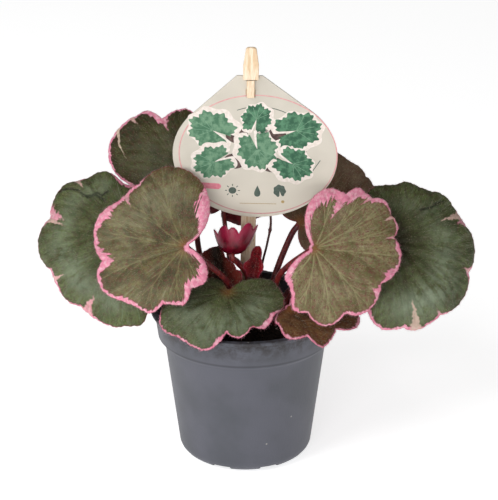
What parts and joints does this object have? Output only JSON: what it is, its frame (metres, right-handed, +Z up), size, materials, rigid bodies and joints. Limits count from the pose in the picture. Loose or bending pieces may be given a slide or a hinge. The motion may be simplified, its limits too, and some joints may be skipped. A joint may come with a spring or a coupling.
{
  "type": "potted strawberry begonia",
  "caption": "Variegated strawberry begonia with round scalloped leaves in a tapered grey nursery pot, with a picture card hung on a wooden stick.",
  "frame": {"origin": "centre of the pot's flat underside", "axes": "+Z up along the pot's axis, -Y out of the plant's front, which the card faces, +X to the right seen from the front"},
  "size_m": [0.2477, 0.1365, 0.2391],
  "materials": {
    "pot": "grey moulded plastic with a soft sheen",
    "soil": "dark crumbly potting soil",
    "leaf": "dull olive green with pink margins, crimson underneath, finely hairy",
    "young_leaf": "magenta, finely hairy",
    "stalk": "dark crimson, hairy",
    "wood": "bare pale wood",
    "card": "matt beige card with a printed ring and leaf pictures"
  },
  "bodies": {
    "root": {"pot": "pot", "soil": "soil", "leaf_left_front": "leaf", "leaf_right_front": "leaf", "leaf_far_left": "leaf", "leaf_far_right": "leaf", "leaf_back_left": "leaf", "leaf_back_right": "leaf", "leaf_rim_left": "leaf", "leaf_rim_right": "leaf", "leaf_behind_tag": "leaf", "leaf_rear_left": "leaf", "leaf_rear_right": "leaf", "leaf_rear_middle": "leaf", "leaf_folded": "leaf", "leaf_young_pink": "young_leaf", "leaf_bud_red": "young_leaf", "stolon": "stalk", "tag_stick": "wood", "tag": "card"}
  },
  "joints": []
}
